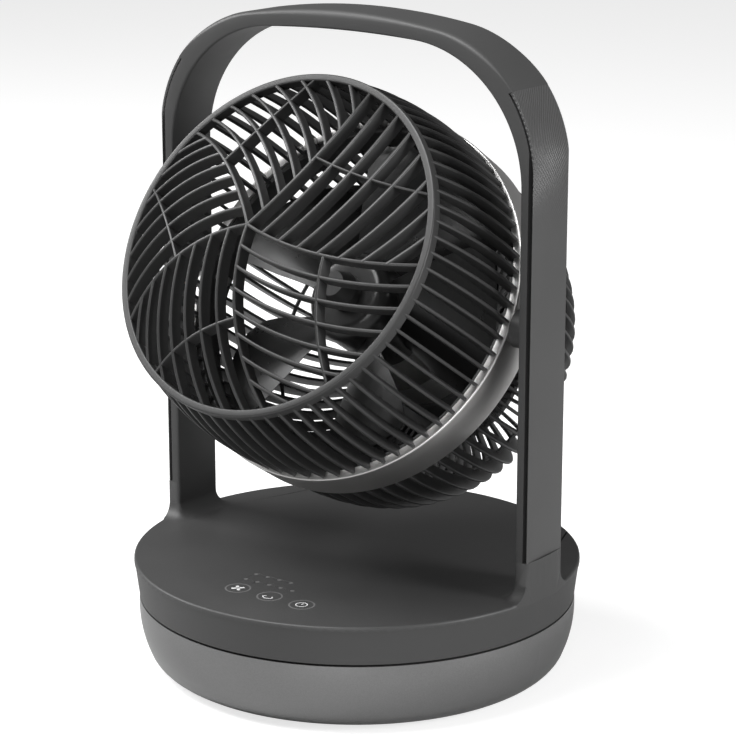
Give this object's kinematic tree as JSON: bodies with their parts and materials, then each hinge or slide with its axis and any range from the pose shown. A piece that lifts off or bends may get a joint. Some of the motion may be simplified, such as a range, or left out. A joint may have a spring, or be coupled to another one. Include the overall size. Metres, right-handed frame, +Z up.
{
  "type": "table-top air circulator",
  "caption": "Ball-shaped grille fan that tilts inside a carrying hoop, on a round base whose upper half swivels, with touch controls on the deck.",
  "frame": {"origin": "centre of the foot plane, on the swivel axis", "axes": "+Z up along the swivel axis, the fan blows towards -Y at rest, +X along the tilt axis to the right seen from the front"},
  "size_m": [0.244, 0.2449, 0.3576],
  "materials": {
    "charcoal_shell": "fine-grained matt moulding, charcoal",
    "ridged_trim": "fine ridged texture, charcoal",
    "bowl_grey": "satin metallic grey paint",
    "band_silver": "satin silver with a bright front lip",
    "grille_dark": "semi-matt dark charcoal",
    "blade_dark": "semi-gloss dark grey",
    "arm_dark": "matt dark charcoal",
    "foot_rubber": "soft rubber",
    "friction_rubber": "firm fibre-filled rubber",
    "bearing_steel": "ground bright steel",
    "screw_steel": "zinc-plated steel",
    "motor_steel": "drawn zinc-plated sheet",
    "core_iron": "stamped or sintered iron, oiled",
    "bush_bronze": "sintered bronze",
    "gear_acetal": "natural acetal",
    "inner_black": "unpolished black moulding",
    "board_green": "solder-masked circuit board",
    "guide_clear": "frosted clear moulding",
    "icon_pale": "translucent pale grey inlay"
  },
  "bodies": {
    "base": {"base_bowl": "bowl_grey", "rubber_feet": "foot_rubber", "power_inlet": "inner_black", "ballast_plate": "core_iron", "base_deck": "inner_black", "base_screws": "screw_steel", "swivel_spindle": "bearing_steel", "spindle_clip": "bearing_steel", "swivel_gear": "gear_acetal"},
    "ball_race": {"thrust_balls": "bearing_steel", "ball_cage": "gear_acetal"},
    "upper": {"top_cover": "charcoal_shell", "upper_floor": "inner_black", "floor_screws": "screw_steel", "control_board": "board_green", "light_guide": "guide_clear", "touch_board": "board_green", "buzzer": "inner_black", "icon_inlays": "icon_pale", "swivel_motor": "motor_steel", "handle_frame": "charcoal_shell", "handle_strip_left": "ridged_trim", "handle_strip_right": "ridged_trim", "handle_screws": "screw_steel", "pivot_bush_left": "bush_bronze", "pivot_bush_right": "bush_bronze"},
    "pinion": {"drive_pinion": "gear_acetal"},
    "head": {"pivot_arm_left": "arm_dark", "pivot_arm_right": "arm_dark", "arm_screws": "screw_steel", "pivot_washers": "friction_rubber", "pivot_screws": "screw_steel", "trim_band": "band_silver", "front_grille": "grille_dark", "rear_grille": "grille_dark", "grille_screws": "screw_steel", "motor_mount": "grille_dark", "motor_housing": "motor_steel", "motor_cover": "motor_steel", "motor_bearings": "bearing_steel", "motor_stator": "core_iron"},
    "rotor": {"motor_shaft": "bearing_steel", "magnet_rotor": "core_iron", "fan_blades": "blade_dark", "blade_nut": "gear_acetal"}
  },
  "joints": [
    {"name": "swivel", "type": "hinge", "parent": "base", "child": "upper", "pos_m": [0, 0, 0.04], "axis": [0, 0, 1], "range_deg": [-45, 45]},
    {"name": "race_turn", "type": "hinge", "parent": "base", "child": "ball_race", "pos_m": [0, 0, 0.0377], "axis": [0, 0, 1], "range_deg": [-23, 23]},
    {"name": "pinion_turn", "type": "hinge", "parent": "upper", "child": "pinion", "pos_m": [0, 0.03775, 0.038], "axis": [0, 0, 1], "range_deg": [-181, 181]},
    {"name": "tilt", "type": "hinge", "parent": "upper", "child": "head", "pos_m": [0, 0, 0.20115], "axis": [1, 0, 0], "range_deg": [-58, 46]},
    {"name": "fan_spin", "type": "hinge", "parent": "head", "child": "rotor", "pos_m": [0, 0, 0.20115], "axis": [0, -0.8499, 0.527], "continuous": true}
  ],
  "couplings": [
    {"joint": "pinion_turn", "follows": "swivel", "ratio": 4},
    {"joint": "race_turn", "follows": "swivel", "ratio": 0.5}
  ]
}
